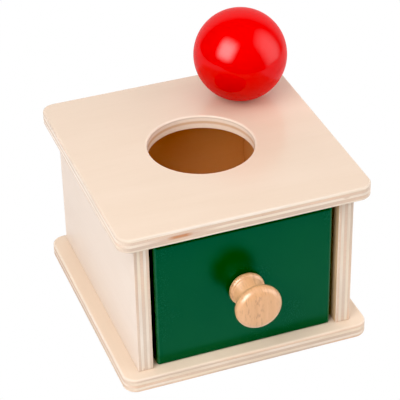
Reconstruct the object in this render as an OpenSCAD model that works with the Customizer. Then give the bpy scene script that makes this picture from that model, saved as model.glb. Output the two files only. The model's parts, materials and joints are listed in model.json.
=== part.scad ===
// Ball-drop box with a drawer: a small plywood box whose lid has one round
// hole, a painted drawer with a turned knob, and a wooden ball on the lid.
// Frame: origin at the centre of the base's underside, +X to the right seen
// from the drawer side, +Y to the rear, +Z up. Millimetres.

/* [Box] */
// Width of the lid and base panels, left to right
box_w = 150; // [144:1:170]
// Depth of the lid and base panels, front to rear
box_d = 153; // [150:1:170]
// Plywood thickness of the box panels
ply_t = 9; // [8:0.5:10]
// Radius of the plan corners of the lid and base
corner_r = 8; // [4:0.5:14]
// Eased edge of the lid and base
edge_c = 1; // [0.5:0.1:2]
// Height of the walls between base and lid
wall_h = 88; // [80:1:100]
// Width across the outer faces of the side walls
wall_span = 131; // [127:1:136]
// Distance from the centre to the front ends of the side walls
wall_front = 69.5; // [66:0.5:73]
// Distance from the centre to the rear face of the walls
wall_rear = 73; // [70:0.5:75]

/* [Ball and hole] */
// Diameter of the hole in the lid
hole_d = 62.5; // [58:0.5:64]
// Eased rim of the hole
hole_c = 0.8; // [0.4:0.1:1.5]
// Diameter of the ball
ball_d = 56; // [45:0.5:57]
// Ball's place on the lid, to the right of the centre
ball_x = 41.5; // [41:0.5:46]
// Ball's place on the lid, behind the centre
ball_y = 43.2; // [43:0.1:47]

/* [Drawer] */
// Gap beside the drawer, each side
side_gap = 3; // [1.5:0.5:5]
// Gap between the top of the drawer front and the lid
top_gap = 5.7; // [2:0.1:8]
// Set-back of the drawer front behind the wall ends
recess = 1.5; // [0:0.5:4]
// Thickness of the drawer front
front_t = 9; // [8:0.5:10]
// Thickness of the drawer sides
side_t = 4.5; // [4:0.5:6]
// How far the drawer sides stand in from the ends of the drawer front
side_in = 1; // [0:0.5:3]
// Thickness of the drawer bottom
bottom_t = 4; // [3:0.5:5]
// How much lower the drawer sides are than the front
side_drop = 3; // [1:0.5:12]
// Gap behind the closed drawer
rear_gap = 1; // [0.5:0.5:4]

/* [Knob] */
// Largest diameter of the knob's head
knob_d = 27.6; // [24:0.2:32]
// Length of the knob in front of the drawer
knob_len = 25; // [22:0.5:30]
// Height of the knob's axis above the middle of the drawer front
knob_up = 0.5; // [-5:0.5:5]

/* [Fasteners] */
// Diameter of the wooden dowels
dowel_d = 5; // [4:0.5:6]
// Length of the wooden dowels
dowel_len = 18; // [14:1:20]
// Shank diameter of the base screws
screw_d = 3.5; // [3:0.1:4]
// Length of the base screws
screw_len = 25; // [20:1:30]
// Shank diameter of the drawer brads
brad_d = 1.4; // [1.2:0.1:1.8]
// Length of the drawer brads
brad_len = 16; // [12:1:20]
// Diameter of the dowels that join the drawer front to the drawer sides
front_dowel_d = 3; // [2.5:0.1:3.4]
// Length of the dowels that join the drawer front to the drawer sides
front_dowel_len = 14; // [10:1:16]

/* [Hidden] */
$fn = 96;

snug = 0.05;                       // radial room around a fastener
slide_z = 0.3;                     // running gap under the drawer
z_lid = ply_t + wall_h;            // underside of the lid
z_top = z_lid + ply_t;             // top of the lid
wall_x = wall_span / 2 - ply_t;    // inner face of a side wall
rear_y = wall_rear - ply_t;        // inner face of the rear wall
wall_mid = wall_span / 2 - ply_t / 2;
rear_mid = wall_rear - ply_t / 2;

dr_x = wall_x - side_gap;          // half width of the drawer
dr_z0 = ply_t + slide_z;           // underside of the drawer
dr_z1 = z_lid - top_gap;           // top of the drawer front
dr_zs = dr_z1 - side_drop;         // top of the drawer sides
dr_y0 = -(wall_front - recess);    // face of the drawer front
dr_y1 = rear_y - rear_gap;         // rear of the drawer
front_in = dr_y0 + front_t;        // inner face of the drawer front
back_in = dr_y1 - ply_t;           // inner face of the drawer back
side_x = dr_x - side_in;           // outer face of a drawer side
in_x = side_x - side_t;            // inner face of a drawer side
knob_z = (dr_z0 + dr_z1) / 2 + knob_up;   // height of the knob's axis

dowel_in = dowel_len / 3;          // part of a dowel in the drilled face
lid_dowel_xy = concat(
    [for (sx = [-1, 1], y = [-45, 45]) [sx * wall_mid, y]],
    [for (sx = [-1, 1]) [sx * 30, rear_mid]]);
rear_dowel_z = [ply_t + 22, ply_t + 66];
screw_xy = concat(
    [for (sx = [-1, 1], y = [-48, 48]) [sx * wall_mid, y]],
    [for (sx = [-1, 1]) [sx * 24, rear_mid]]);
screw_rise = 0.3;                  // heads sit just inside the base
// brads through each drawer side: [distance from the centre, height]
brad_yz = concat(
    [for (z = [dr_z0 + 18, dr_z0 + 62]) [dr_y1 - ply_t / 2, z]],
    [for (y = [-36, 0, 36]) [y, dr_z0 + bottom_t / 2]]);
front_dowel_z = [dr_z0 + 18, dr_z0 + 62];
front_dowel_in = front_dowel_len * 3 / 7;   // part of a dowel in the front
knob_screw_d = 3.5;
knob_screw_in = 15;                // screw length inside the knob

birch = [0.93, 0.83, 0.70];
birch_edge = [0.86, 0.72, 0.55];
green = [0.02, 0.33, 0.19];
beech = [0.87, 0.64, 0.40];
red = [0.88, 0.02, 0.03];
steel = [0.72, 0.73, 0.75];

// cross-section of a board with eased edges, centred, standing on y = 0
function eased(w, t, c) = [[-w/2 + c, 0], [w/2 - c, 0], [w/2, c],
    [w/2, t - c], [w/2 - c, t], [-w/2 + c, t], [-w/2, t - c], [-w/2, c]];

// flat board with rounded plan corners and eased edges
module board(w, d, t, r, c) {
    translate([-(w/2 - r), 0, 0]) rotate([90, 0, 90])
        linear_extrude(w - 2*r) polygon(eased(d, t, c));
    translate([0, d/2 - r, 0]) rotate([90, 0, 0])
        linear_extrude(d - 2*r) polygon(eased(w, t, c));
    for (k = [[1, 1, 0], [-1, 1, 90], [-1, -1, 180], [1, -1, 270]])
        translate([k[0]*(w/2 - r), k[1]*(d/2 - r), 0]) rotate([0, 0, k[2]])
            rotate_extrude(angle = 90)
                polygon([[0, 0], [r - c, 0], [r, c], [r, t - c], [r - c, t], [0, t]]);
}

// block between two corners
module block(a, b) { translate(a) cube(b - a); }

// round rod from a point along a direction (turn = rotation of +Z)
module rod(p, turn, d, l) { translate(p) rotate(turn) cylinder(d = d, h = l); }

// dowels: standing between walls and lid, lying between rear wall and sides
module lid_dowel_set(g) {
    for (p = lid_dowel_xy)
        rod([p[0], p[1], z_lid - (dowel_len - dowel_in) - g], [0, 0, 0],
            dowel_d + 2*g, dowel_len + 2*g);
}
module rear_dowel_set(g) {
    for (s = [-1, 1], z = rear_dowel_z)
        rod([s*(wall_x - (dowel_len - dowel_in) - g), rear_mid, z], [0, s*90, 0],
            dowel_d + 2*g, dowel_len + 2*g);
}

// countersunk screw standing on its head at the origin, point up
module csk_screw(d, l, g) {
    cylinder(d1 = 2*d + 2*g, d2 = d + 2*g, h = d/2);
    cylinder(d = d + 2*g, h = l - d + g);
    translate([0, 0, l - d + g]) cylinder(d1 = d + 2*g, d2 = 0.3, h = d);
}
module cross_recess(w, l, h) {
    for (a = [0, 90]) rotate([0, 0, a]) translate([-l/2, -w/2, -0.01]) cube([l, w, h]);
}
module base_screw_set(g) {
    for (p = screw_xy) translate([p[0], p[1], screw_rise]) csk_screw(screw_d, screw_len, g);
}
// room under each screw head, open to the underside of the base
module head_wells() {
    for (p = screw_xy) translate([p[0], p[1], -1])
        cylinder(d = 2*screw_d + 2*snug, h = 1 + screw_rise + 0.001);
}

// brads: head flush with the outer face of a drawer side, point inwards
module brad(g) {
    cylinder(d = 2*brad_d + 2*g, h = 0.6);
    cylinder(d = brad_d + 2*g, h = brad_len + g);
}
module brad_set(g) {
    for (s = [-1, 1], p = brad_yz)
        translate([s*side_x, p[0], p[1]]) rotate([0, -s*90, 0]) brad(g);
}

// dowels between the drawer front and the ends of the drawer sides
module front_dowel_set(g) {
    for (s = [-1, 1], z = front_dowel_z)
        rod([s*(side_x - side_t/2), front_in + front_dowel_len - front_dowel_in + g, z], [90, 0, 0],
            front_dowel_d + 2*g, front_dowel_len + 2*g);
}

// knob screw: head inside the drawer, shank through the front into the knob
module knob_screw_shank(g) {
    rod([0, front_in, knob_z], [90, 0, 0], knob_screw_d + 2*g, front_t + knob_screw_in + g);
}

module base_panel() {
    color(birch) difference() {
        board(box_w, box_d, ply_t, corner_r, edge_c);
        base_screw_set(snug);
        head_wells();
    }
}

module lid_panel() {
    color(birch) difference() {
        translate([0, 0, z_lid]) board(box_w, box_d, ply_t, corner_r, edge_c);
        translate([0, 0, z_lid]) rotate_extrude() polygon([
            [0, -1], [hole_d/2 + hole_c + 1, -1], [hole_d/2, hole_c],
            [hole_d/2, ply_t - hole_c], [hole_d/2 + hole_c + 1, ply_t + 1], [0, ply_t + 1]]);
        lid_dowel_set(snug);
    }
}

module side_wall(s) {
    difference() {
        if (s > 0) block([wall_x, -wall_front, ply_t], [wall_span/2, wall_rear, z_lid]);
        else block([-wall_span/2, -wall_front, ply_t], [-wall_x, wall_rear, z_lid]);
        lid_dowel_set(snug);
        rear_dowel_set(snug);
        base_screw_set(snug);
    }
}
module left_wall() { color(birch) side_wall(-1); }
module right_wall() { color(birch) side_wall(1); }

module rear_wall() {
    color(birch) difference() {
        block([-wall_x, rear_y, ply_t], [wall_x, wall_rear, z_lid]);
        lid_dowel_set(snug);
        rear_dowel_set(snug);
        base_screw_set(snug);
    }
}

module lid_dowels() { color(beech) lid_dowel_set(0); }
module rear_wall_dowels() { color(beech) rear_dowel_set(0); }

module base_screws() {
    color(steel) for (p = screw_xy) translate([p[0], p[1], screw_rise]) difference() {
        csk_screw(screw_d, screw_len, 0);
        cross_recess(0.9, 3.8, 1.2);
    }
}

module drawer_front() {
    color(green) difference() {
        block([-dr_x, dr_y0, dr_z0], [dr_x, front_in, dr_z1]);
        front_dowel_set(snug);
        knob_screw_shank(snug);
    }
}

module drawer_side(s) {
    difference() {
        if (s > 0) block([in_x, front_in, dr_z0], [side_x, dr_y1, dr_zs]);
        else block([-side_x, front_in, dr_z0], [-in_x, dr_y1, dr_zs]);
        front_dowel_set(snug);
        brad_set(snug);
    }
}
module drawer_left_side() { color(birch_edge) drawer_side(-1); }
module drawer_right_side() { color(birch_edge) drawer_side(1); }

module drawer_back() {
    color(birch) difference() {
        block([-in_x, back_in, dr_z0], [in_x, dr_y1, dr_zs]);
        brad_set(snug);
    }
}

module drawer_bottom() {
    color(birch_edge) difference() {
        block([-in_x, front_in, dr_z0], [in_x, back_in, dr_z0 + bottom_t]);
        brad_set(snug);
    }
}

module drawer_dowels() { color(beech) front_dowel_set(0); }
module drawer_brads() { color(steel) brad_set(0); }

// turned profile of the knob: [radius as a share of the head's, station as a
// share of the length]: bead at the foot, groove, waisted neck, rounded head
// with a nearly flat face
knob_profile = [[0, 0], [0.60, 0], [0.68, 0.028], [0.74, 0.068], [0.764, 0.116],
    [0.754, 0.156], [0.717, 0.188], [0.674, 0.204], [0.63, 0.248], [0.576, 0.32],
    [0.532, 0.40], [0.514, 0.468], [0.536, 0.532], [0.623, 0.592], [0.768, 0.636],
    [0.899, 0.684], [0.971, 0.736], [1, 0.796], [0.984, 0.853], [0.936, 0.904],
    [0.863, 0.945], [0.736, 0.976], [0.543, 0.988], [0.362, 0.995], [0.181, 0.999], [0, 1]];

module knob() {
    color(beech) difference() {
        translate([0, dr_y0, knob_z]) rotate([90, 0, 0]) rotate_extrude()
            polygon([for (p = knob_profile) [p[0]*knob_d/2, p[1]*knob_len]]);
        knob_screw_shank(snug);
    }
}

module knob_screw() {
    color(steel) difference() {
        union() {
            knob_screw_shank(0);
            translate([0, front_in, knob_z]) rotate([-90, 0, 0]) rotate_extrude()
                polygon([[0, 0], [3.6, 0], [3.6, 1.2], [3.1, 1.9], [2.1, 2.3], [0, 2.4]]);
        }
        translate([0, front_in + 2.4, knob_z]) rotate([90, 0, 0]) cross_recess(0.9, 3.6, 1.3);
    }
}

module ball() {
    color(red) translate([ball_x, ball_y, z_top + ball_d/2 + 0.05]) sphere(d = ball_d);
}

base_panel();
lid_panel();
left_wall();
right_wall();
rear_wall();
lid_dowels();
rear_wall_dowels();
base_screws();
drawer_front();
drawer_left_side();
drawer_right_side();
drawer_back();
drawer_bottom();
drawer_dowels();
drawer_brads();
knob();
knob_screw();
ball();
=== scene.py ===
import json
import math

import bpy
import bmesh
import numpy as np
from mathutils import Matrix, Vector, noise, Quaternion

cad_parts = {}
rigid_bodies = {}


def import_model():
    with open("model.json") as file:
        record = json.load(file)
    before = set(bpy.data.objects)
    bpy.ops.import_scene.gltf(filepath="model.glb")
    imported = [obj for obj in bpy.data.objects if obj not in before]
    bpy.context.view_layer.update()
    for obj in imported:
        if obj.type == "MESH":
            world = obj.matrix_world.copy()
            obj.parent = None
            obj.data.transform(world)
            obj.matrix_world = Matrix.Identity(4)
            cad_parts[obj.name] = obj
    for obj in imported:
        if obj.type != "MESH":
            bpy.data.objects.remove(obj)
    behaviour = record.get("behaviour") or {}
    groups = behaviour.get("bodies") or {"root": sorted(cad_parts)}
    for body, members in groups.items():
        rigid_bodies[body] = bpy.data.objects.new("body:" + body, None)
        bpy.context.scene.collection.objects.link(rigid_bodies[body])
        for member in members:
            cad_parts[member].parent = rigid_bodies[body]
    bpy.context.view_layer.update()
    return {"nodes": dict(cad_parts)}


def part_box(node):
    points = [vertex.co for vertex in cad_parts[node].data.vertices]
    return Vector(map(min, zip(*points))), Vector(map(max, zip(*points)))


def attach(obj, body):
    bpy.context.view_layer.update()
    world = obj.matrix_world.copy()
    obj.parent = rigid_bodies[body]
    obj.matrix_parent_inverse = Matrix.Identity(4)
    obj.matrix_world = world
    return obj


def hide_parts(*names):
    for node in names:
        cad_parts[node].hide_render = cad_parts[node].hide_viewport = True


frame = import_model()
NODES = frame["nodes"]
SCENE = bpy.context.scene
MM = 0.001


# ---------------------------------------------------------------- mesh tools

def shade(obj, angle=None):
    me = obj.data
    me.polygons.foreach_set("use_smooth", [True] * len(me.polygons))
    if angle is not None:
        me.set_sharp_from_angle(angle=math.radians(angle))
    me.update()


def weighted(obj):
    m = obj.modifiers.new("even_normals", "WEIGHTED_NORMAL")
    m.mode = "FACE_AREA"
    m.weight = 60
    m.keep_sharp = True


def to_object(name, verts, faces, normals=None):
    me = bpy.data.meshes.new(name)
    me.from_pydata([tuple(v) for v in verts], [], faces)
    me.validate()
    obj = bpy.data.objects.new(name, me)
    SCENE.collection.objects.link(obj)
    shade(obj)
    if normals is not None:
        me.normals_split_custom_set_from_vertices([tuple(n) for n in normals])
    return obj


def lines(lo, hi, ra, rb, cell, seg=4):
    """Grid lines along one side of a board: close together over the rounded edges."""
    ease = [1 - math.tan(math.radians(a)) for a in np.linspace(45, 0, seg + 1)]
    n = max(1, int(round((hi - lo - ra - rb) / cell)))
    mid = list(np.linspace(lo + ra, hi - rb, n + 1))[1:-1]
    return [lo + ra * e for e in ease] + mid + [hi - rb * e for e in reversed(ease)]


def jitter(p, freq, seed):
    return noise.noise(Vector((p[0] * freq + seed, p[1] * freq - seed, p[2] * freq + 2 * seed)))


def board(name, lo, hi, r, cell=6 * MM, rough=0.0, seed=0.0, seg=4):
    """Flat board with all its edges rounded to r, from quads only, with exact normals.
    r is one radius, or three for the low sides and three for the high ones.
    rough lets a hand-sanded edge wander by that much."""
    lo, hi = np.array(lo, float), np.array(hi, float)
    ra, rb = (np.full(3, r), np.full(3, r)) if np.isscalar(r) else (np.array(r[0]), np.array(r[1]))
    ax = [lines(lo[i], hi[i], ra[i], rb[i], cell, seg) for i in range(3)]
    n = [len(a) for a in ax]
    index, verts, normals = {}, [], []

    def vert(i, j, k):
        key = (i, j, k)
        if key not in index:
            p = np.array([ax[0][i], ax[1][j], ax[2][k]])
            c = np.clip(p, lo + ra, hi - rb)
            rs = np.where(p < c, ra, rb)
            d = (p - c) / rs
            d /= np.linalg.norm(d)
            edge_band = min(1.0, (1 - np.abs(d).max()) / 0.29)
            q = c + d * rs
            d = d / rs
            d /= np.linalg.norm(d)
            if rough and edge_band > 0:
                q = q - d * rough * edge_band * (0.5 + 0.5 * jitter(q, 220, seed) + 0.5 * jitter(q, 60, seed))
            index[key] = len(verts)
            verts.append(q)
            normals.append(d)
        return index[key]

    faces = []
    for a in range(3):
        b, c = (a + 1) % 3, (a + 2) % 3
        for side in (0, n[a] - 1):
            for j in range(n[b] - 1):
                for k in range(n[c] - 1):
                    quad = []
                    for dj, dk in ((0, 0), (1, 0), (1, 1), (0, 1)):
                        ijk = [0, 0, 0]
                        ijk[a], ijk[b], ijk[c] = side, j + dj, k + dk
                        quad.append(vert(*ijk))
                    faces.append(quad if side else quad[::-1])
    return to_object(name, verts, faces, normals)


def outline(w, d, r, step=4 * MM, arc=16):
    """Rounded rectangle, anticlockwise: points and outward normals."""
    pts, nrm = [], []
    corners = [(1, 1, 0), (-1, 1, 90), (-1, -1, 180), (1, -1, 270)]
    for ci, (sx, sy, a0) in enumerate(corners):
        c = np.array([sx * (w / 2 - r), sy * (d / 2 - r)])
        for a in np.linspace(a0, a0 + 90, arc + 1):
            u = np.array([math.cos(math.radians(a)), math.sin(math.radians(a))])
            pts.append(c + r * u)
            nrm.append(u)
        nx, ny, _ = corners[(ci + 1) % 4]
        u = nrm[-1]
        end = np.array([nx * (w / 2 - r), ny * (d / 2 - r)]) + r * u
        m = int(round(np.linalg.norm(end - pts[-1]) / step))
        start = pts[-1]
        for k in range(1, m):
            pts.append(start + (end - start) * k / m)
            nrm.append(u)
    return np.array(pts), np.array(nrm)


def plate(name, w, d, t, z0, r, e, hole=None, rim=0.9 * MM, seg=5, rough=0.0, seed=0.0):
    """Lid or base: rounded plan corners, edges rounded to e, and an optional round hole.
    One closed skin of rings; returns the object."""
    P, U = outline(w, d, r)
    N = len(P)
    rings, norms = [], []

    def ring(xy, z, nxy, nz):
        rings.append(np.column_stack([xy, np.full(N, z)]))
        norms.append(np.column_stack([nxy, np.full(N, nz)]))

    flat = np.zeros_like(U)
    ang = np.linspace(0, 90, seg + 1)
    # side wall, from the middle up, over the top edge
    for z in np.linspace(z0 + t / 2, z0 + t - e, 4)[:-1]:
        ring(P, z, U, 0)
    for a in ang:
        c, s = math.cos(math.radians(a)), math.sin(math.radians(a))
        ring(P - e * (1 - c) * U, z0 + t - e + e * s, U * c, s)
    # top face, from the edge inwards
    inner = P - 5 * MM * U
    ring(P - (e + 0.8 * MM) * U, z0 + t, flat, 1)
    ring(inner, z0 + t, flat, 1)
    if hole:
        ph = np.arctan2(inner[:, 1], inner[:, 0])
        C = np.column_stack([np.cos(ph), np.sin(ph)])
        edge = C * (hole + rim + 0.8 * MM)
        for f in np.linspace(0, 1, 13)[1:]:
            ring(inner + (edge - inner) * f, z0 + t, flat, 1)
        for a in ang:
            c, s = math.cos(math.radians(90 - a)), math.sin(math.radians(90 - a))
            ring(C * (hole + rim * (1 - c)), z0 + t - rim + rim * s, -C * c, s)
        for z in np.linspace(z0 + t - rim, z0 + rim, 8)[1:-1]:
            ring(C * hole, z, -C, 0)
        for a in ang:
            c, s = math.cos(math.radians(a)), math.sin(math.radians(a))
            ring(C * (hole + rim * (1 - c)), z0 + rim - rim * s, -C * c, -s)
        for f in np.linspace(1, 0, 13)[:-1]:
            ring(inner + (edge - inner) * f, z0, flat, -1)
    else:
        for f in np.linspace(0, 0.94, 14)[1:]:
            ring(inner * (1 - f), z0 + t, flat, 1)
    top_end = len(rings)
    if not hole:
        for f in np.linspace(0.94, 0, 14)[:-1]:
            ring(inner * (1 - f), z0, flat, -1)
    ring(inner, z0, flat, -1)
    ring(P - (e + 0.8 * MM) * U, z0, flat, -1)
    for a in ang[::-1]:
        c, s = math.cos(math.radians(a)), math.sin(math.radians(a))
        ring(P - e * (1 - c) * U, z0 + e - e * s, U * c, -s)
    for z in np.linspace(z0 + e, z0 + t / 2, 4)[1:-1]:
        ring(P, z, U, 0)
    M = len(rings)
    verts = np.concatenate(rings)
    normals = np.concatenate(norms)
    normals /= np.linalg.norm(normals, axis=1)[:, None]
    if rough:
        edge_band = np.clip((1 - np.abs(normals).max(1)) / 0.29, 0, 1)
        edge_band[np.abs(normals[:, 2]) < 0.02] = 0
        for i in np.nonzero(edge_band > 0.02)[0]:
            q = verts[i]
            verts[i] = q - normals[i] * rough * edge_band[i] * (0.5 + 0.5 * jitter(q, 220, seed) + 0.5 * jitter(q, 60, seed))
    faces = []
    for m in range(M):
        if not hole and m == top_end - 1:
            continue
        a, b = m * N, ((m + 1) % M) * N
        for i in range(N):
            j = (i + 1) % N
            faces.append((a + i, a + j, b + j, b + i))
    if not hole:
        verts = np.concatenate([verts, [[0, 0, z0 + t], [0, 0, z0]]])
        normals = np.concatenate([normals, [[0, 0, 1], [0, 0, -1]]])
        a, b, c = (top_end - 1) * N, top_end * N, M * N
        for i in range(N):
            j = (i + 1) % N
            faces.append((a + i, a + j, c))
            faces.append((b + j, b + i, c + 1))
    return to_object(name, verts, faces, normals)


def lathe(name, profile, origin, axis, n=96):
    """Turned piece: profile [(radius, station)], from the axis round to the axis."""
    axis = np.array(axis, float)
    side = np.array([1.0, 0, 0]) if abs(axis[0]) < 0.9 else np.array([0, 1.0, 0])
    up = np.cross(axis, side)
    origin = np.array(origin, float)
    verts, faces, first = [], [], []
    for r, s in profile:
        first.append(len(verts))
        if r < 1e-7:
            verts.append(origin + axis * s)
        else:
            for k in range(n):
                a = 2 * math.pi * k / n
                verts.append(origin + axis * s + r * (math.cos(a) * side + math.sin(a) * up))
    for m in range(len(profile) - 1):
        a, b = first[m], first[m + 1]
        tip_a, tip_b = profile[m][0] < 1e-7, profile[m + 1][0] < 1e-7
        for i in range(n):
            j = (i + 1) % n
            if tip_a and tip_b:
                continue
            if tip_a:
                faces.append((a, b + j, b + i))
            elif tip_b:
                faces.append((a + i, a + j, b))
            else:
                faces.append((a + i, a + j, b + j, b + i))
    return to_object(name, verts, faces)


def smooth_curve(pts, sub=5):
    """Centripetal Catmull-Rom through the points."""
    P = np.array(pts, float)
    out = []
    for i in range(len(P) - 1):
        p1, p2 = P[i], P[i + 1]
        p0 = P[i - 1] if i else 2 * p1 - p2
        p3 = P[i + 2] if i + 2 < len(P) else 2 * p2 - p1
        t0 = 0.0
        t1 = t0 + max(1e-9, np.linalg.norm(p1 - p0)) ** 0.5
        t2 = t1 + max(1e-9, np.linalg.norm(p2 - p1)) ** 0.5
        t3 = t2 + max(1e-9, np.linalg.norm(p3 - p2)) ** 0.5
        for t in np.linspace(t1, t2, sub, endpoint=False):
            a1 = (t1 - t) / (t1 - t0) * p0 + (t - t0) / (t1 - t0) * p1
            a2 = (t2 - t) / (t2 - t1) * p1 + (t - t1) / (t2 - t1) * p2
            a3 = (t3 - t) / (t3 - t2) * p2 + (t - t2) / (t3 - t2) * p3
            b1 = (t2 - t) / (t2 - t0) * a1 + (t - t0) / (t2 - t0) * a2
            b2 = (t3 - t) / (t3 - t1) * a2 + (t - t1) / (t3 - t1) * a3
            out.append((t2 - t) / (t2 - t1) * b1 + (t - t1) / (t2 - t1) * b2)
    out.append(P[-1])
    return [(float(a), float(b)) for a, b in out]


def quad_ball(name, centre, r, n=44):
    """Ball from six equal-angle patches, so that no pole shows, a few hundredths out of round."""
    g = np.tan(np.linspace(-math.pi / 4, math.pi / 4, n + 1))
    index, verts, faces = {}, [], []
    for a in range(3):
        b, c = (a + 1) % 3, (a + 2) % 3
        for s in (-1, 1):
            ids = np.zeros((n + 1, n + 1), int)
            for j in range(n + 1):
                for k in range(n + 1):
                    p = np.zeros(3)
                    p[a], p[b], p[c] = s, g[j], g[k]
                    p /= np.linalg.norm(p)
                    key = tuple(np.round(p, 6))
                    if key not in index:
                        index[key] = len(verts)
                        out = 0.02 * MM * (noise.noise(Vector(p * 1.7)) - 1)
                        verts.append(np.array(centre) + p * (r + out))
                    ids[j, k] = index[key]
            for j in range(n):
                for k in range(n):
                    q = [ids[j, k], ids[j + 1, k], ids[j + 1, k + 1], ids[j, k + 1]]
                    faces.append(q if s > 0 else q[::-1])
    return to_object(name, verts, faces)


def cut(obj, cutters):
    """Takes the cutters out of obj, and removes them."""
    for k, c in enumerate(cutters):
        m = obj.modifiers.new(f"cut{k}", "BOOLEAN")
        m.operation = "DIFFERENCE"
        m.solver = "EXACT"
        m.object = c
    bpy.context.view_layer.update()
    dg = bpy.context.evaluated_depsgraph_get()
    me = bpy.data.meshes.new_from_object(obj.evaluated_get(dg))
    old = obj.data
    obj.modifiers.clear()
    obj.data = me
    me.name = old.name
    bpy.data.meshes.remove(old)
    for c in cutters:
        cm = c.data
        bpy.data.objects.remove(c)
        bpy.data.meshes.remove(cm)
    bm = bmesh.new()
    bm.from_mesh(me)
    bmesh.ops.remove_doubles(bm, verts=bm.verts, dist=1e-7)
    bm.to_mesh(me)
    bm.free()
    if me.attributes.get("custom_normal"):
        me.attributes.remove(me.attributes["custom_normal"])
    shade(obj, 35)
    return obj


def rod(name, profile, origin, axis, n=40):
    return lathe(name, profile, origin, axis, n)


def wood_frame(obj, grain, thick, lo, hi, shift):
    """Stores each point's place in its own board: along the grain, across it and through it
    (pco, metres), the depth as a share of the thickness (depth), and which of the three ways
    the surface faces (facing)."""
    me = obj.data
    n = len(me.vertices)
    co, no = np.zeros(n * 3, np.float32), np.zeros(n * 3, np.float32)
    me.vertices.foreach_get("co", co)
    me.vertex_normals.foreach_get("vector", no)
    co, no = co.reshape(-1, 3).astype(float), np.abs(no.reshape(-1, 3))
    lo, hi = np.array(lo), np.array(hi)
    across = 3 - grain - thick
    mid = (lo + hi) / 2
    pco = np.column_stack([co[:, grain] - mid[grain] + shift[0], co[:, across] - mid[across] + shift[1], co[:, thick] - mid[thick]])
    depth = (co[:, thick] - lo[thick]) / (hi[thick] - lo[thick])
    for name, kind, field, data in (("pco", "FLOAT_VECTOR", "vector", pco), ("depth", "FLOAT", "value", depth),
                                    ("facing", "FLOAT_VECTOR", "vector", no[:, [grain, across, thick]])):
        a = me.attributes.new(name, kind, "POINT")
        a.data.foreach_set(field, np.ascontiguousarray(data, np.float32).ravel())


# Stores the rounded-edge mask (edge_band). The wood and paint make these edges paler with it: sanding wear plus a
# painted highlight.
def store_edge_band(obj, fn):
    me = obj.data
    co = np.zeros(len(me.vertices) * 3, np.float32)
    me.vertices.foreach_get("co", co)
    w = fn(co.reshape(-1, 3).astype(float))
    a = me.attributes.new("edge_band", "FLOAT", "POINT")
    a.data.foreach_set("value", np.asarray(w, np.float32))


def mark_bore(obj, r):
    """Stores which points lie on the wall of a round hole in the middle (bore)."""
    me = obj.data
    co = np.zeros(len(me.vertices) * 3, np.float32)
    me.vertices.foreach_get("co", co)
    co = co.reshape(-1, 3)
    a = me.attributes.new("bore", "FLOAT", "POINT")
    a.data.foreach_set("value", (np.hypot(co[:, 0], co[:, 1]) < r + 0.0011).astype(np.float32))


def box_edge_band(lo, hi, r):
    lo, hi = np.array(lo), np.array(hi)

    def fn(co):
        d = np.minimum(co - lo, hi - co)          # distance inside each face
        near = np.clip((r - d) / r, 0, 1)
        near.sort(axis=1)
        return np.clip(near[:, 1] * 2.2, 0, 1)    # two faces close: an edge
    return fn


def plate_edge_band(w, d, r, z0, t, e, hole=None):
    def fn(co):
        x, y = np.abs(co[:, 0]), np.abs(co[:, 1])
        qx, qy = x - (w / 2 - r), y - (d / 2 - r)
        out = np.where((qx > 0) & (qy > 0), np.hypot(qx, qy), np.maximum(qx, qy))
        side = r - out                              # distance in from the outline
        if hole:
            side = np.minimum(side, np.abs(np.hypot(co[:, 0], co[:, 1]) - hole))
        flat = np.minimum(co[:, 2] - z0, z0 + t - co[:, 2])
        a, b = np.clip((e - side) / e, 0, 1), np.clip((e - flat) / e, 0, 1)
        return np.clip(np.minimum(a, b) * 2.2, 0, 1)
    return fn


# ---------------------------------------------------------------- materials

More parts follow.
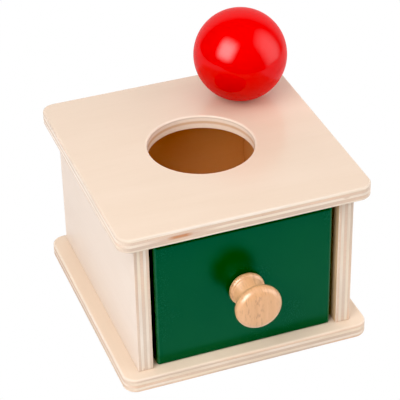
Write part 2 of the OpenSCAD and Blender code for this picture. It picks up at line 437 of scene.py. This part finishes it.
class Tree:
    def __init__(self, name):
        self.mat = bpy.data.materials.new(name)
        self.mat.use_nodes = True
        self.nt = self.mat.node_tree
        self.nt.nodes.clear()
        self.out = self.add("ShaderNodeOutputMaterial")
        self.bsdf = self.add("ShaderNodeBsdfPrincipled")
        self.nt.links.new(self.bsdf.outputs[0], self.out.inputs[0])

    def add(self, kind, **props):
        n = self.nt.nodes.new(kind)
        for k, v in props.items():
            setattr(n, k, v)
        return n

    def put(self, socket, value):
        if isinstance(value, bpy.types.NodeSocket):
            self.nt.links.new(value, socket)
        else:
            socket.default_value = value

    def attr(self, name, out="Fac"):
        n = self.add("ShaderNodeAttribute", attribute_type="GEOMETRY", attribute_name=name)
        return n.outputs[out]

    def math(self, op, a, b=0.0, c=0.0, clamp=False):
        n = self.add("ShaderNodeMath", operation=op, use_clamp=clamp)
        for s, v in zip(n.inputs, (a, b, c)):
            self.put(s, v)
        return n.outputs[0]

    def vmath(self, op, a, b=(0, 0, 0)):
        n = self.add("ShaderNodeVectorMath", operation=op)
        self.put(n.inputs[0], a)
        self.put(n.inputs[1], b)
        return n.outputs[0]

    def split(self, v):
        n = self.add("ShaderNodeSeparateXYZ")
        self.put(n.inputs[0], v)
        return n.outputs[0], n.outputs[1], n.outputs[2]

    def join(self, x, y, z):
        n = self.add("ShaderNodeCombineXYZ")
        for s, v in zip(n.inputs, (x, y, z)):
            self.put(s, v)
        return n.outputs[0]

    def noise(self, v, scale=1.0, detail=3.0, rough=0.55, dist=0.0, out="Fac"):
        n = self.add("ShaderNodeTexNoise", noise_dimensions="3D")
        self.put(n.inputs["Vector"], v)
        n.inputs["Scale"].default_value = scale
        n.inputs["Detail"].default_value = detail
        n.inputs["Roughness"].default_value = rough
        n.inputs["Distortion"].default_value = dist
        return n.outputs[out]

    def ramp(self, fac, stops, kind="LINEAR"):
        n = self.add("ShaderNodeValToRGB")
        n.color_ramp.interpolation = kind
        e = n.color_ramp.elements
        while len(e) > 1:
            e.remove(e[-1])
        for i, (p, c) in enumerate(stops):
            s = e[0] if i == 0 else e.new(p)
            s.position = p
            s.color = (c, c, c, 1) if isinstance(c, (int, float)) else (*c, 1)
        self.put(n.inputs[0], fac)
        return n.outputs[0]

    def mix(self, fac, a, b, kind="MIX"):
        n = self.add("ShaderNodeMix", data_type="RGBA", blend_type=kind, clamp_result=False)
        self.put(n.inputs[0], fac)
        for s, v in ((n.inputs[6], a), (n.inputs[7], b)):
            self.put(s, v if isinstance(v, bpy.types.NodeSocket) else (*v, 1))
        return n.outputs[2]

    def vmix(self, fac, a, b):
        n = self.add("ShaderNodeMix", data_type="VECTOR")
        self.put(n.inputs[0], fac)
        self.put(n.inputs[4], a)
        self.put(n.inputs[5], b)
        return n.outputs[1]

    def span(self, v, a, b, lo, hi):
        n = self.add("ShaderNodeMapRange", clamp=True)
        self.put(n.inputs[0], v)
        for s, x in zip(list(n.inputs)[1:5], (a, b, lo, hi)):
            self.put(s, x)
        return n.outputs[0]

    def bump(self, height, strength, distance, normal=None):
        n = self.add("ShaderNodeBump")
        n.inputs["Strength"].default_value = strength
        n.inputs["Distance"].default_value = distance
        self.put(n.inputs["Height"], height)
        if normal is not None:
            self.put(n.inputs["Normal"], normal)
        return n.outputs[0]

    def set(self, **kw):
        for k, v in kw.items():
            self.put(self.bsdf.inputs[k.replace("_", " ")], v)


def plywood(name, light, dark, pale, stripe, rough, plies=7, gloss=0.5, figure=1.0, lacquer=0.0, streak_at=None, bore=None):
    """Birch plywood: veneer faces with soft figure, fine fibres and pores. On a cut edge each ply
    shows end grain or long grain, by the way its own grain runs, with thin uneven glue lines."""
    t = Tree(name)
    pco = t.attr("pco", "Vector")
    u, v, w = t.split(pco)
    depth = t.attr("depth")
    along, across, through = t.split(t.attr("facing", "Vector"))
    # plies of uneven thickness with wavy seams
    wob = t.noise(t.vmath("MULTIPLY", pco, (60, 60, 60)), detail=2)
    uneven = t.noise(t.join(t.math("MULTIPLY", depth, 5.0), t.math("MULTIPLY", u, 2.0), t.math("MULTIPLY", v, 2.0)), detail=1)
    d2 = t.math("MULTIPLY_ADD", t.math("SUBTRACT", wob, 0.5), 0.03, depth)
    d2 = t.math("MULTIPLY_ADD", t.math("SUBTRACT", uneven, 0.5), 0.10, d2)
    d2 = t.math("MULTIPLY", t.math("MINIMUM", t.math("MAXIMUM", d2, 0.002), 0.998), float(plies))
    layer = t.math("FLOOR", d2)
    odd = t.math("MODULO", layer, 2.0)
    frac = t.math("FRACT", d2)
    turned = t.vmix(odd, pco, t.join(v, u, w))
    # each ply is its own veneer
    own = t.vmath("ADD", turned, t.join(t.math("MULTIPLY", layer, 0.37), t.math("MULTIPLY", layer, 0.21), 0.0))
    fibre = t.noise(t.vmath("MULTIPLY", own, (45, 900, 900)), detail=4, rough=0.6)
    band = t.noise(t.vmath("MULTIPLY", own, (7, 70, 90)), detail=3, rough=0.5, dist=0.4)
    cloud = t.noise(t.vmath("MULTIPLY", own, (14, 26, 26)), detail=2)
    pore = t.span(t.noise(t.vmath("MULTIPLY", own, (170, 2600, 2600)), detail=1), 0.66, 0.78, 0.0, 1.0)
    f = t.math("ADD", t.math("MULTIPLY", band, 0.55), t.math("ADD", t.math("MULTIPLY", fibre, 0.25), t.math("MULTIPLY", cloud, 0.35)))
    face = t.mix(t.span(f, 0.35, 0.85, 0.0, figure), light, dark)
    face = t.mix(t.math("MULTIPLY", pore, 0.10), face, tuple(c * 0.62 for c in dark))
    # cut edges: pale long grain against darker, pinker end grain
    side = t.span(through, 0.90, 0.55, 0.0, 1.0)
    a2, c2 = t.math("MULTIPLY", along, along), t.math("MULTIPLY", across, across)
    endwise = t.math("DIVIDE", a2, t.math("ADD", t.math("ADD", a2, c2), 0.0001))
    ends = t.math("ABSOLUTE", t.math("SUBTRACT", odd, endwise))
    tone = t.span(t.noise(t.vmath("MULTIPLY", own, (9, 9, 9)), detail=2), 0.34, 0.60, 0.55, 1.0)
    hue = t.noise(t.vmath("MULTIPLY", own, (13, 13, 13)), detail=2)
    lit = t.mix(t.span(hue, 0.38, 0.62, 0.0, 1.0), pale, (pale[0] * 0.97, pale[1] * 0.93, pale[2] * 0.84))
    dim = t.mix(t.span(hue, 0.42, 0.60, 1.0, 0.0), stripe, (stripe[0] * 1.20, stripe[1] * 1.08, stripe[2] * 0.95))
    edge = t.mix(t.math("MULTIPLY", ends, tone), lit, dim)
    blot = t.span(t.noise(t.vmath("MULTIPLY", pco, (24, 24, 160)), detail=3), 0.45, 0.75, 0.0, 0.35)
    edge = t.mix(blot, edge, tuple(c * 0.95 for c in stripe))
    edge = t.mix(t.span(fibre, 0.42, 0.75, 0.0, 0.30), edge, tuple(c * 0.84 for c in stripe))
    # a few dark streaks in the plies, along their grain
    streak = t.span(t.noise(t.vmath("MULTIPLY", own, (60, 500, 500)), detail=1), 0.75, 0.81, 0.0, 0.7)
    edge = t.mix(streak, edge, (stripe[0] * 0.80, stripe[1] * 0.55, stripe[2] * 0.36))
    if streak_at:
        off = t.vmath("ABSOLUTE", t.vmath("SUBTRACT", pco, streak_at[0]))
        p, q, r = t.split(off)
        ragged = t.math("MULTIPLY", t.math("SUBTRACT", fibre, 0.5), 0.004)
        mark = t.math("MULTIPLY", t.span(t.math("ADD", p, ragged), streak_at[1] * 0.45, streak_at[1], 1.0, 0.0), t.span(r, 0.0006, 0.0014, 1.0, 0.0))
        mark = t.math("MULTIPLY", mark, t.span(q, 0.006, 0.010, 1.0, 0.0))
        tail = t.math("MULTIPLY", t.span(t.math("ADD", p, ragged), streak_at[1] * 1.2, streak_at[1] * 3.2, 1.0, 0.0), t.span(r, 0.0005, 0.0011, 1.0, 0.0))
        tail = t.math("MULTIPLY", tail, t.span(q, 0.006, 0.010, 0.7, 0.0))
        edge = t.mix(tail, edge, (0.62, 0.38, 0.27))
        edge = t.mix(mark, edge, (0.55, 0.225, 0.095))
    seam = t.span(t.math("ABSOLUTE", t.math("SUBTRACT", frac, 0.5)), 0.41, 0.5, 0.0, 0.65)
    glue = t.math("MULTIPLY", seam, t.span(t.noise(t.vmath("MULTIPLY", own, (40, 40, 40)), detail=2), 0.38, 0.66, 0.0, 1.0))
    edge = t.mix(glue, edge, tuple(c * 0.74 for c in stripe))
    if bore:
        # a hole's wall: paler than the other cut edges, which is painted light, with a golden middle ply and a thin
        # seam under the top one
        at = t.math("DIVIDE", d2, float(plies))
        wall = t.mix(t.math("MULTIPLY", t.span(t.math("ABSOLUTE", t.math("SUBTRACT", at, 0.5)), 0.06, 0.18, 1.0, 0.0), tone), bore[0], bore[1])
        wall = t.mix(t.span(at, 0.46, 0.05, 0.0, 0.4), wall, bore[1])
        thin = t.span(t.math("ABSOLUTE", t.math("SUBTRACT", at, 0.84)), 0.015, 0.05, 0.7, 0.0)
        wall = t.mix(t.math("MULTIPLY", thin, tone), wall, bore[2])
        wall = t.mix(t.span(fibre, 0.42, 0.75, 0.0, 0.15), wall, bore[1])
        edge = t.mix(t.attr("bore"), edge, wall)
    col = t.mix(side, face, edge)
    # rounded edges paler: sanding wear plus a painted highlight along them
    edge_band = t.attr("edge_band")
    col = t.mix(t.math("MULTIPLY", edge_band, t.span(cloud, 0.3, 0.7, 0.10, 0.5)), col, tuple(min(1, c * 1.06) for c in pale))
    t.set(Base_Color=col, Specular_IOR_Level=gloss)
    t.put(t.bsdf.inputs["Roughness"], t.span(t.math("ADD", t.math("MULTIPLY", fibre, 0.5), t.math("MULTIPLY", cloud, 0.5)), 0.3, 0.7, rough - 0.06, rough + 0.08))
    h = t.math("ADD", t.math("MULTIPLY", fibre, 0.6), t.math("SUBTRACT", t.math("MULTIPLY", band, 0.4), t.math("MULTIPLY", pore, 0.5)))
    h = t.math("SUBTRACT", h, t.math("MULTIPLY", t.math("MULTIPLY", glue, side), 0.8))
    t.put(t.bsdf.inputs["Normal"], t.bump(h, 0.25, 0.00012))
    if lacquer:
        t.bsdf.inputs["Coat Weight"].default_value = lacquer
        t.bsdf.inputs["Coat Roughness"].default_value = 0.22
        t.bsdf.inputs["Coat IOR"].default_value = 1.9
    return t.mat


def paint(name, colour, deep, rough, orange, tint=None, gloss=0.5, grain=0.0, coat=0.0, thin=None):
    """Sprayed paint: slight colour drift, orange peel, the wood's grain faintly through it, and a
    lighter colour on the upright edges: paint worn thin there, plus a painted highlight."""
    t = Tree(name)
    co = t.add("ShaderNodeTexCoord").outputs["Object"]
    drift = t.noise(t.vmath("MULTIPLY", co, (28, 28, 28)), detail=2)
    peel = t.noise(t.vmath("MULTIPLY", co, (520, 520, 520)), detail=2)
    speck = t.noise(t.vmath("MULTIPLY", co, (2200, 2200, 2200)), detail=1)
    col = t.mix(t.span(drift, 0.35, 0.65, 0.0, 1.0), colour, deep)
    # lighter upright edges: paint worn thin plus a painted highlight; the top and bottom edges get none
    if thin:
        upright_sheen = t.span(t.split(t.attr("facing", "Vector"))[0], 0.1, 0.4, 0.0, 1.0)
        col = t.mix(t.math("MULTIPLY", t.math("MULTIPLY", t.attr("edge_band"), upright_sheen), t.span(peel, 0.3, 0.7, 0.55, 0.95)), col, thin)
    t.set(Base_Color=col, Specular_IOR_Level=gloss)
    if tint:
        t.bsdf.inputs["Specular Tint"].default_value = (*tint, 1)
    if coat:
        t.bsdf.inputs["Coat Weight"].default_value = coat
        t.bsdf.inputs["Coat Roughness"].default_value = 0.12
        t.bsdf.inputs["Coat IOR"].default_value = 1.7
    t.put(t.bsdf.inputs["Roughness"], t.span(t.math("ADD", t.math("MULTIPLY", drift, 0.6), t.math("MULTIPLY", speck, 0.4)), 0.3, 0.7, rough - 0.03, rough + 0.04))
    h = t.math("ADD", peel, t.math("MULTIPLY", speck, 0.15))
    if grain:
        g = t.noise(t.vmath("MULTIPLY", co, (30, 30, 700)), detail=3)
        h = t.math("ADD", h, t.math("MULTIPLY", g, grain))
    t.put(t.bsdf.inputs["Normal"], t.bump(h, 0.22, orange))
    return t.mat


def turned_beech(name, light, dark, fleck, rough):
    """Lacquered beech: straight grain up the knob's face, growth rings, and short dark ray flecks."""
    t = Tree(name)
    co = t.add("ShaderNodeTexCoord").outputs["Object"]
    x, y, z = t.split(co)
    bend = t.noise(t.vmath("MULTIPLY", co, (40, 40, 12)), detail=2)
    ringx = t.math("MULTIPLY_ADD", bend, 0.006, t.math("ADD", x, t.math("MULTIPLY", y, 0.35)))
    ring = t.noise(t.join(t.math("MULTIPLY", ringx, 420.0), 0.0, t.math("MULTIPLY", z, 6.0)), detail=2)
    fibre = t.noise(t.vmath("MULTIPLY", co, (1500, 1500, 70)), detail=3, rough=0.6)
    dash = t.noise(t.vmath("MULTIPLY", co, (900, 90, 260)), detail=2)
    dash = t.span(dash, 0.55, 0.68, 0.0, 1.0)
    broad = t.noise(t.vmath("ADD", t.vmath("MULTIPLY", co, (90, 90, 40)), (3.7, 0.0, 1.3)), detail=2)
    f = t.math("ADD", t.math("MULTIPLY", ring, 0.5), t.math("ADD", t.math("MULTIPLY", fibre, 0.3), t.math("MULTIPLY", broad, 0.3)))
    col = t.mix(t.span(f, 0.4, 0.75, 0.0, 1.0), light, dark)
    col = t.mix(t.math("MULTIPLY", dash, t.span(broad, 0.36, 0.56, 0.10, 0.48)), col, fleck)
    t.set(Base_Color=col, Specular_IOR_Level=0.4)
    t.bsdf.inputs["Coat Weight"].default_value = 0.47
    t.bsdf.inputs["Coat Roughness"].default_value = 0.11
    t.put(t.bsdf.inputs["Roughness"], t.span(fibre, 0.3, 0.7, rough - 0.05, rough + 0.08))
    h = t.math("SUBTRACT", t.math("MULTIPLY", fibre, 0.5), t.math("MULTIPLY", dash, 0.6))
    t.put(t.bsdf.inputs["Normal"], t.bump(h, 0.18, 0.00008))
    return t.mat


def steel(name):
    """Zinc-plated steel with a cloudy plate and fine scratches."""
    t = Tree(name)
    co = t.add("ShaderNodeTexCoord").outputs["Object"]
    cloud = t.noise(t.vmath("MULTIPLY", co, (400, 400, 400)), detail=3)
    scr = t.noise(t.vmath("MULTIPLY", co, (9000, 700, 700)), detail=2)
    col = t.mix(cloud, (0.62, 0.63, 0.66), (0.46, 0.47, 0.49))
    t.set(Base_Color=col, Metallic=1.0)
    t.put(t.bsdf.inputs["Roughness"], t.span(t.math("ADD", t.math("MULTIPLY", cloud, 0.5), t.math("MULTIPLY", scr, 0.5)), 0.3, 0.7, 0.24, 0.42))
    t.put(t.bsdf.inputs["Normal"], t.bump(scr, 0.15, 0.00003))
    return t.mat


def dowel_wood(name):
    t = Tree(name)
    co = t.add("ShaderNodeTexCoord").outputs["Object"]
    fibre = t.noise(t.vmath("MULTIPLY", co, (900, 900, 900)), detail=3)
    band = t.noise(t.vmath("MULTIPLY", co, (120, 120, 120)), detail=2)
    col = t.mix(t.span(t.math("ADD", t.math("MULTIPLY", fibre, 0.5), t.math("MULTIPLY", band, 0.5)), 0.35, 0.65, 0, 1), (0.62, 0.40, 0.22), (0.46, 0.28, 0.14))
    t.set(Base_Color=col)
    t.put(t.bsdf.inputs["Roughness"], t.span(fibre, 0.3, 0.7, 0.55, 0.7))
    t.put(t.bsdf.inputs["Normal"], t.bump(fibre, 0.3, 0.0001))
    return t.mat


# bore: the hole wall's colours; the pale one is painted light, brighter than the wood is
BIRCH = plywood("birch_ply", (0.734, 0.582, 0.460), (0.697, 0.541, 0.413), (0.875, 0.755, 0.655), (0.635, 0.47, 0.365), 0.42, plies=5, gloss=0.0, lacquer=0.6,
                streak_at=((0.31 - 0.0405, 0.12 - 0.0765, 0.0), 0.0078), bore=((0.95, 0.785, 0.65), (0.77, 0.51, 0.33), (0.62, 0.47, 0.38)))
BIRCH_BASE = plywood("birch_ply_base", (0.80, 0.648, 0.515), (0.76, 0.603, 0.463), (0.835, 0.72, 0.625), (0.605, 0.45, 0.35), 0.42, plies=5, gloss=0.0, lacquer=0.135)
# inner faces of the box walls: no lacquer, and darker and more orange than the outside, painted shade
BIRCH_RAW_SHADED = plywood("birch_ply_inside_shaded", (0.69, 0.475, 0.29), (0.64, 0.425, 0.25), (0.72, 0.53, 0.37), (0.54, 0.36, 0.22), 0.65, plies=5, gloss=0.0)
# birch for the walls: paler and cooler than the lid's, a painted reflection in place of the lacquer it lacks
BIRCH_WALL = plywood("birch_ply_wall", (0.81, 0.68, 0.585), (0.77, 0.63, 0.53), (0.83, 0.73, 0.645), (0.62, 0.475, 0.38), 0.42, plies=5, gloss=0.1, lacquer=0.165)
# drawer ply: a deep orange, painted in as the colour the ply shows in shade inside the box
INSIDE = plywood("drawer_ply", (0.955, 0.525, 0.212), (0.905, 0.472, 0.174), (0.91, 0.57, 0.27), (0.68, 0.38, 0.145), 0.6, plies=3, gloss=0.3)
# thin: the lighter green of the upright edges, worn paint plus a painted highlight
GREEN = paint("green_paint", (0.0066, 0.046, 0.0060), (0.0062, 0.042, 0.0056), 0.245, 0.00005, tint=(0.0, 1.0, 0.65), gloss=0.60, grain=0.25, thin=(0.024, 0.105, 0.044))
RED = paint("red_paint", (0.76, 0.0008, 0.0012), (0.74, 0.0008, 0.001), 0.13, 0.000012, gloss=0.0, coat=0.32)
BEECH = turned_beech("turned_beech", (0.755, 0.425, 0.222), (0.655, 0.345, 0.162), (0.37, 0.175, 0.082), 0.32)
STEEL = steel("plated_steel")
DOWEL = dowel_wood("dowel_beech")


def finish_piece(obj, mat, body, node):
    obj.data.materials.clear()
    obj.data.materials.append(mat)
    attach(obj, body)
    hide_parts(node)
    return obj


# ---------------------------------------------------------------- box boards

def node_box(name):
    lo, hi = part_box(name)
    return np.array(lo), np.array(hi)


def build_board(name, node, r, grain, thick, mat, body, shift, rough=0.0, cutters=(), cell=6 * MM):
    lo, hi = node_box(node)
    obj = board(name, lo, hi, r, cell=cell, rough=rough, seed=shift[0] * 31 + 3)
    if cutters:
        cut(obj, cutters)
        weighted(obj)
    wood_frame(obj, grain, thick, lo, hi, shift)
    store_edge_band(obj, box_edge_band(lo, hi, r))
    return finish_piece(obj, mat, body, node)


EASE = 1.2 * MM
HOLE_R = 31.25 * MM

lo, hi = node_box("lid_panel")
W, D, T = hi - lo
lid = plate("lid", W, D, T, lo[2], 8 * MM, EASE, hole=HOLE_R, rim=0.9 * MM, rough=0.12 * MM, seed=4.0)
wood_frame(lid, 0, 2, lo, hi, (0.31, 0.12))
store_edge_band(lid, plate_edge_band(W, D, 8 * MM, lo[2], T, EASE, HOLE_R))
mark_bore(lid, HOLE_R)
finish_piece(lid, BIRCH, "box", "lid_panel")

lo, hi = node_box("base_panel")
W, D, T = hi - lo
base = plate("base", W, D, T, lo[2], 8 * MM, EASE, rough=0.12 * MM, seed=9.0)
slo, shi = node_box("base_screws")
screw_x = (shi[0] - slo[0]) / 2 - 3.5 * MM
places = [(sx * screw_x, y) for sx in (-1, 1) for y in (-48 * MM, 48 * MM)] + [(sx * 24 * MM, shi[1] - 3.5 * MM) for sx in (-1, 1)]
wells = []
for k, (x, y) in enumerate(places):
    wells.append(rod(f"well{k}", [(0, -0.002), (0.00361, -0.002), (0.00361, 0.00032), (0.00182, 0.00206), (0.00182, 0.012), (0, 0.012)], (x, y, 0), (0, 0, 1), 48))
cut(base, wells)
weighted(base)
wood_frame(base, 1, 2, lo, hi, (1.13, 0.55))
store_edge_band(base, plate_edge_band(W, D, 8 * MM, lo[2], T, EASE))
finish_piece(base, BIRCH_BASE, "box", "base_panel")

for name, node, grain, thick, shift, inward in (("wall_left", "left_wall", 1, 0, (2.2, 0.4), (1, 0, 0)), ("wall_right", "right_wall", 1, 0, (3.1, 0.9), (-1, 0, 0)),
                                                ("wall_rear", "rear_wall", 0, 1, (4.7, 0.2), (0, -1, 0))):
    wall = build_board(name, node, 0.6 * MM, grain, thick, BIRCH_WALL, "box", shift, rough=0.06 * MM)
    wall.data.materials.append(BIRCH_RAW_SHADED)         # no lacquer on the inside, and a darker, more orange colour there: painted shade
    for poly in wall.data.polygons:
        if poly.normal.dot(Vector(inward)) > 0.9:
            poly.material_index = 1

# ---------------------------------------------------------------- drawer

f_lo, f_hi = node_box("drawer_front")
s_lo, s_hi = node_box("drawer_right_side")
FRONT_R = 2.0 * MM
front = board("drawer_face", f_lo, f_hi, ((FRONT_R, FRONT_R, 0.35 * MM), (FRONT_R, 0.8 * MM, FRONT_R)), cell=5 * MM, rough=0.03 * MM, seed=2.0, seg=6)
wood_frame(front, 0, 1, f_lo, f_hi, (9.4, 0.8))
store_edge_band(front, box_edge_band(f_lo, f_hi, FRONT_R))
finish_piece(front, GREEN, "drawer", "drawer_front")
front.data.materials.append(INSIDE)
for poly in front.data.polygons:
    poly.material_index = int(poly.normal.y > 0.95)


def brad_holes(sx):
    """Holes for the brad heads on one drawer side, where the CAD brads are."""
    b_lo, b_hi = node_box("drawer_brads")
    rear = b_hi[1] - 1.4 * MM
    spots = [(rear, s_lo[2] + 18 * MM), (rear, s_lo[2] + 62 * MM)] + [(y, s_lo[2] + 2 * MM) for y in (-36 * MM, 0, 36 * MM)]
    out = []
    for k, (y, z) in enumerate(spots):
        out.append(rod(f"hole{k}", [(0, -0.001), (0.00146, -0.001), (0.00146, 0.00062), (0.00076, 0.00062), (0.00076, 0.007), (0, 0.007)], (sx * s_hi[0], y, z), (-sx, 0, 0), 24))
    return out


build_board("drawer_wall_left", "drawer_left_side", 0.5 * MM, 1, 0, INSIDE, "drawer", (5.3, 0.1), cutters=brad_holes(-1))
build_board("drawer_wall_right", "drawer_right_side", 0.5 * MM, 1, 0, INSIDE, "drawer", (6.4, 0.7), cutters=brad_holes(1))
build_board("drawer_wall_rear", "drawer_back", 0.5 * MM, 0, 1, INSIDE, "drawer", (7.9, 0.3))
build_board("drawer_floor", "drawer_bottom", 0.4 * MM, 1, 2, INSIDE, "drawer", (8.2, 0.6))

# ---------------------------------------------------------------- knob and ball

k_lo, k_hi = node_box("knob")
knob_at = ((k_lo[0] + k_hi[0]) / 2, k_hi[1], (k_lo[2] + k_hi[2]) / 2)
kr = (k_hi[0] - k_lo[0]) / 2 / 13.8
kl = (k_hi[1] - k_lo[1]) / 25.0
bead = smooth_curve([(8.28, 0.0), (9.38, 0.7), (10.21, 1.7), (10.54, 2.9), (10.41, 3.9), (9.89, 4.7), (9.35, 5.1)])
neck = smooth_curve([(9.2, 5.15), (8.7, 6.2), (7.95, 8.0), (7.34, 10.0), (7.09, 11.7), (7.4, 13.3), (8.6, 14.8), (10.6, 15.9), (12.4, 17.1),
                     (13.4, 18.4), (13.8, 19.9), (13.58, 21.32), (12.92, 22.6), (11.9, 23.62), (10.16, 24.4), (7.5, 24.7), (5.0, 24.87), (2.5, 24.97), (0.0, 25.0)])
profile = [(0.0, 0.0)] + [(min(r, 13.8) * kr, s * kl) for r, s in bead + neck]
profile[-1] = (0.0, profile[-1][1])
knob = lathe("turned_knob", profile, knob_at, (0, -1, 0), n=112)
shade(knob, 50)
finish_piece(knob, BEECH, "drawer", "knob")

b_lo, b_hi = node_box("ball")
ball_r = (b_hi[2] - b_lo[2]) / 2
ball = quad_ball("play_ball", (b_lo + b_hi) / 2, ball_r)
finish_piece(ball, RED, "ball", "ball")

# fasteners keep their own shapes
for node, mat in (("base_screws", STEEL), ("drawer_brads", STEEL), ("knob_screw", STEEL), ("lid_dowels", DOWEL), ("rear_wall_dowels", DOWEL), ("drawer_dowels", DOWEL)):
    o = NODES[node]
    if not o.data.materials:
        o.data.materials.append(mat)
    for s in o.material_slots:
        s.material = mat

# ---------------------------------------------------------------- stage, light, camera

def stage_material(name, albedo, glow):
    t = Tree(name)
    fc = t.add("ShaderNodeTexCoord").outputs["Object"]
    t.set(Base_Color=t.mix(t.noise(t.vmath("MULTIPLY", fc, (3, 3, 3))), (albedo,) * 3, (albedo * 0.97,) * 3), Roughness=0.9, Specular_IOR_Level=0.0)
    t.bsdf.inputs["Emission Color"].default_value = (1, 1, 1, 1)
    t.bsdf.inputs["Emission Strength"].default_value = glow
    return t.mat


def table_top(name, z, glow):
    """Rectangular table, a little longer behind the object than in front of it."""
    me = bpy.data.meshes.new(name)
    bm = bmesh.new()
    bmesh.ops.create_grid(bm, x_segments=8, y_segments=8, size=0.5, matrix=Matrix.Translation((-0.12, 0.64, z)) @ Matrix.Diagonal((1.56, 1.92, 1.0, 1.0)))
    bm.to_mesh(me)
    bm.free()
    o = bpy.data.objects.new(name, me)
    SCENE.collection.objects.link(o)
    me.materials.append(stage_material(f"pale_{name}", 0.82, glow))
    return o


# pale table that lights the object from below, and its even white look in reflections
floor = table_top("floor", -0.0002, 0.0)
floor.visible_camera = floor.visible_glossy = False
mirror = table_top("floor_glow", -0.0003, 0.82)
mirror.visible_camera = mirror.visible_diffuse = mirror.visible_shadow = False
# white sweep under and round it all, for the picture only
cove = lathe("cove", [(0, 0), (0.8, 0), (2.0, 0), (3.2, 0), (3.8, 0.10), (4.5, 0.45), (4.9, 1.1), (5.0, 2.0), (5.0, 6.0)], (0, 0, -0.0004), (0, 0, 1), 64)
cove.data.materials.append(stage_material("white_cove", 0.0, 1.0))
cove.visible_diffuse = cove.visible_glossy = cove.visible_transmission = cove.visible_volume_scatter = cove.visible_shadow = False

ROOM, SWEEP = 0.18, 0.98
world = bpy.data.worlds.new("studio")
SCENE.world = world
world.use_nodes = True
wt = world.node_tree
bg = wt.nodes["Background"]
bg.inputs[0].default_value = (1, 1, 1, 1)
# a bright sweep behind the object, a dimmer room elsewhere
toward = wt.nodes.new("ShaderNodeVectorMath")
toward.operation = "DOT_PRODUCT"
toward.inputs[1].default_value = (0.35, 0.937, 0.0)
wt.links.new(wt.nodes.new("ShaderNodeTexCoord").outputs["Generated"], toward.inputs[0])
sweep = wt.nodes.new("ShaderNodeMapRange")
sweep.interpolation_type = "SMOOTHSTEP"
for k, x in zip(range(1, 5), (0.42, 0.78, ROOM, SWEEP)):
    sweep.inputs[k].default_value = x
wt.links.new(toward.outputs["Value"], sweep.inputs[0])
wt.links.new(sweep.outputs[0], bg.inputs[1])

AIM = Vector((0, 0, 0.06))


def softbox(name, azimuth, elevation, dist, w, h, power, glossy=False, roll=0.0, feather=0.0):
    """Soft light. Azimuth 0 is in front of the drawer and 90 to its right. A light is for the
    shading or for the reflections, so that the two can be set apart. A feather fades its border."""
    l = bpy.data.lights.new(name, "AREA")
    l.shape = "RECTANGLE"
    l.size, l.size_y = w, h
    l.energy = power
    if feather:
        l.use_nodes = True
        nt = l.node_tree
        add = nt.nodes.new
        sep = add("ShaderNodeSeparateXYZ")
        nt.links.new(add("ShaderNodeNewGeometry").outputs["Parametric"], sep.inputs[0])
        both = add("ShaderNodeMath")
        both.operation = "MULTIPLY"
        for k in (0, 1):
            off = add("ShaderNodeMath")
            off.operation = "SUBTRACT"
            off.inputs[1].default_value = 0.5
            side = add("ShaderNodeMath")
            side.operation = "ABSOLUTE"
            fade = add("ShaderNodeMapRange")
            fade.interpolation_type = "SMOOTHSTEP"
            for i, v in enumerate((0.5 - feather, 0.5, 1.0, 0.0)):
                fade.inputs[i + 1].default_value = v
            nt.links.new(sep.outputs[k], off.inputs[0])
            nt.links.new(off.outputs[0], side.inputs[0])
            nt.links.new(side.outputs[0], fade.inputs[0])
            nt.links.new(fade.outputs[0], both.inputs[k])
        glow = next(n for n in nt.nodes if n.type == "EMISSION")
        nt.links.new(both.outputs[0], glow.inputs["Strength"])
    o = bpy.data.objects.new(name, l)
    SCENE.collection.objects.link(o)
    o.visible_camera = False
    o.visible_diffuse, o.visible_glossy = not glossy, glossy
    a, e = math.radians(azimuth), math.radians(elevation)
    d = Vector((math.sin(a) * math.cos(e), -math.cos(a) * math.cos(e), math.sin(e)))
    o.location = AIM + d * dist
    o.rotation_euler = ((-d).to_track_quat("-Z", "Y") @ Quaternion((0, 0, 1), math.radians(roll))).to_euler()
    return o


softbox("box_left", -58, 37, 1.2, 0.96, 1.10, 13.3)
softbox("box_right", 63, 22, 1.2, 1.50, 1.50, 11.4)
softbox("box_top", -20, 78, 1.2, 1.00, 1.00, 4.4)
softbox("box_back", 160, 28, 1.5, 2.20, 1.20, 3.0)
softbox("box_front", -8, 40, 1.3, 0.90, 0.90, 0.5)
softbox("glint_left", -62, 36.5, 1.2, 1.30, 1.50, 77.5, glossy=True, roll=-6.5, feather=0.41)
softbox("glint_right", 65, 19, 1.2, 1.68, 2.67, 49.5, glossy=True, roll=9, feather=0.43)

# the reflection lights are for the gloss: ball, knob and painted front
gloss = bpy.data.collections.new("gloss")
for o in SCENE.objects:
    if o.type == "MESH" and any(m in (RED, BEECH, GREEN) for m in o.data.materials):
        gloss.objects.link(o)
for o in SCENE.objects:
    if o.name.startswith("glint_"):
        o.light_linking.receiver_collection = gloss

cam_data = bpy.data.cameras.new("camera")
cam = bpy.data.objects.new("camera", cam_data)
SCENE.collection.objects.link(cam)
cam_data.sensor_fit = "HORIZONTAL"
cam_data.sensor_width = 36.0
cam_data.lens = 1696.04 / 400 * 36.0
cam_data.clip_start, cam_data.clip_end = 0.01, 50
right = Vector((0.93674, -0.34960, -0.01743))
down = Vector((-0.20937, -0.51971, -0.82829))
ahead = Vector((0.28051, 0.77954, -0.56003))
cam.matrix_world = Matrix((
    (right.x, -down.x, -ahead.x, -0.28235),
    (right.y, -down.y, -ahead.y, -0.78075),
    (right.z, -down.z, -ahead.z, 0.62803),
    (0, 0, 0, 1)))
SCENE.camera = cam
SCENE.view_settings.view_transform = "Standard"
curves = SCENE.view_settings.curve_mapping
SCENE.view_settings.use_curve_mapping = True
curves.black_level = (0.012, 0.012, 0.012)
curves.update()
SCENE.view_settings.look = "None"

bpy.context.view_layer.update()
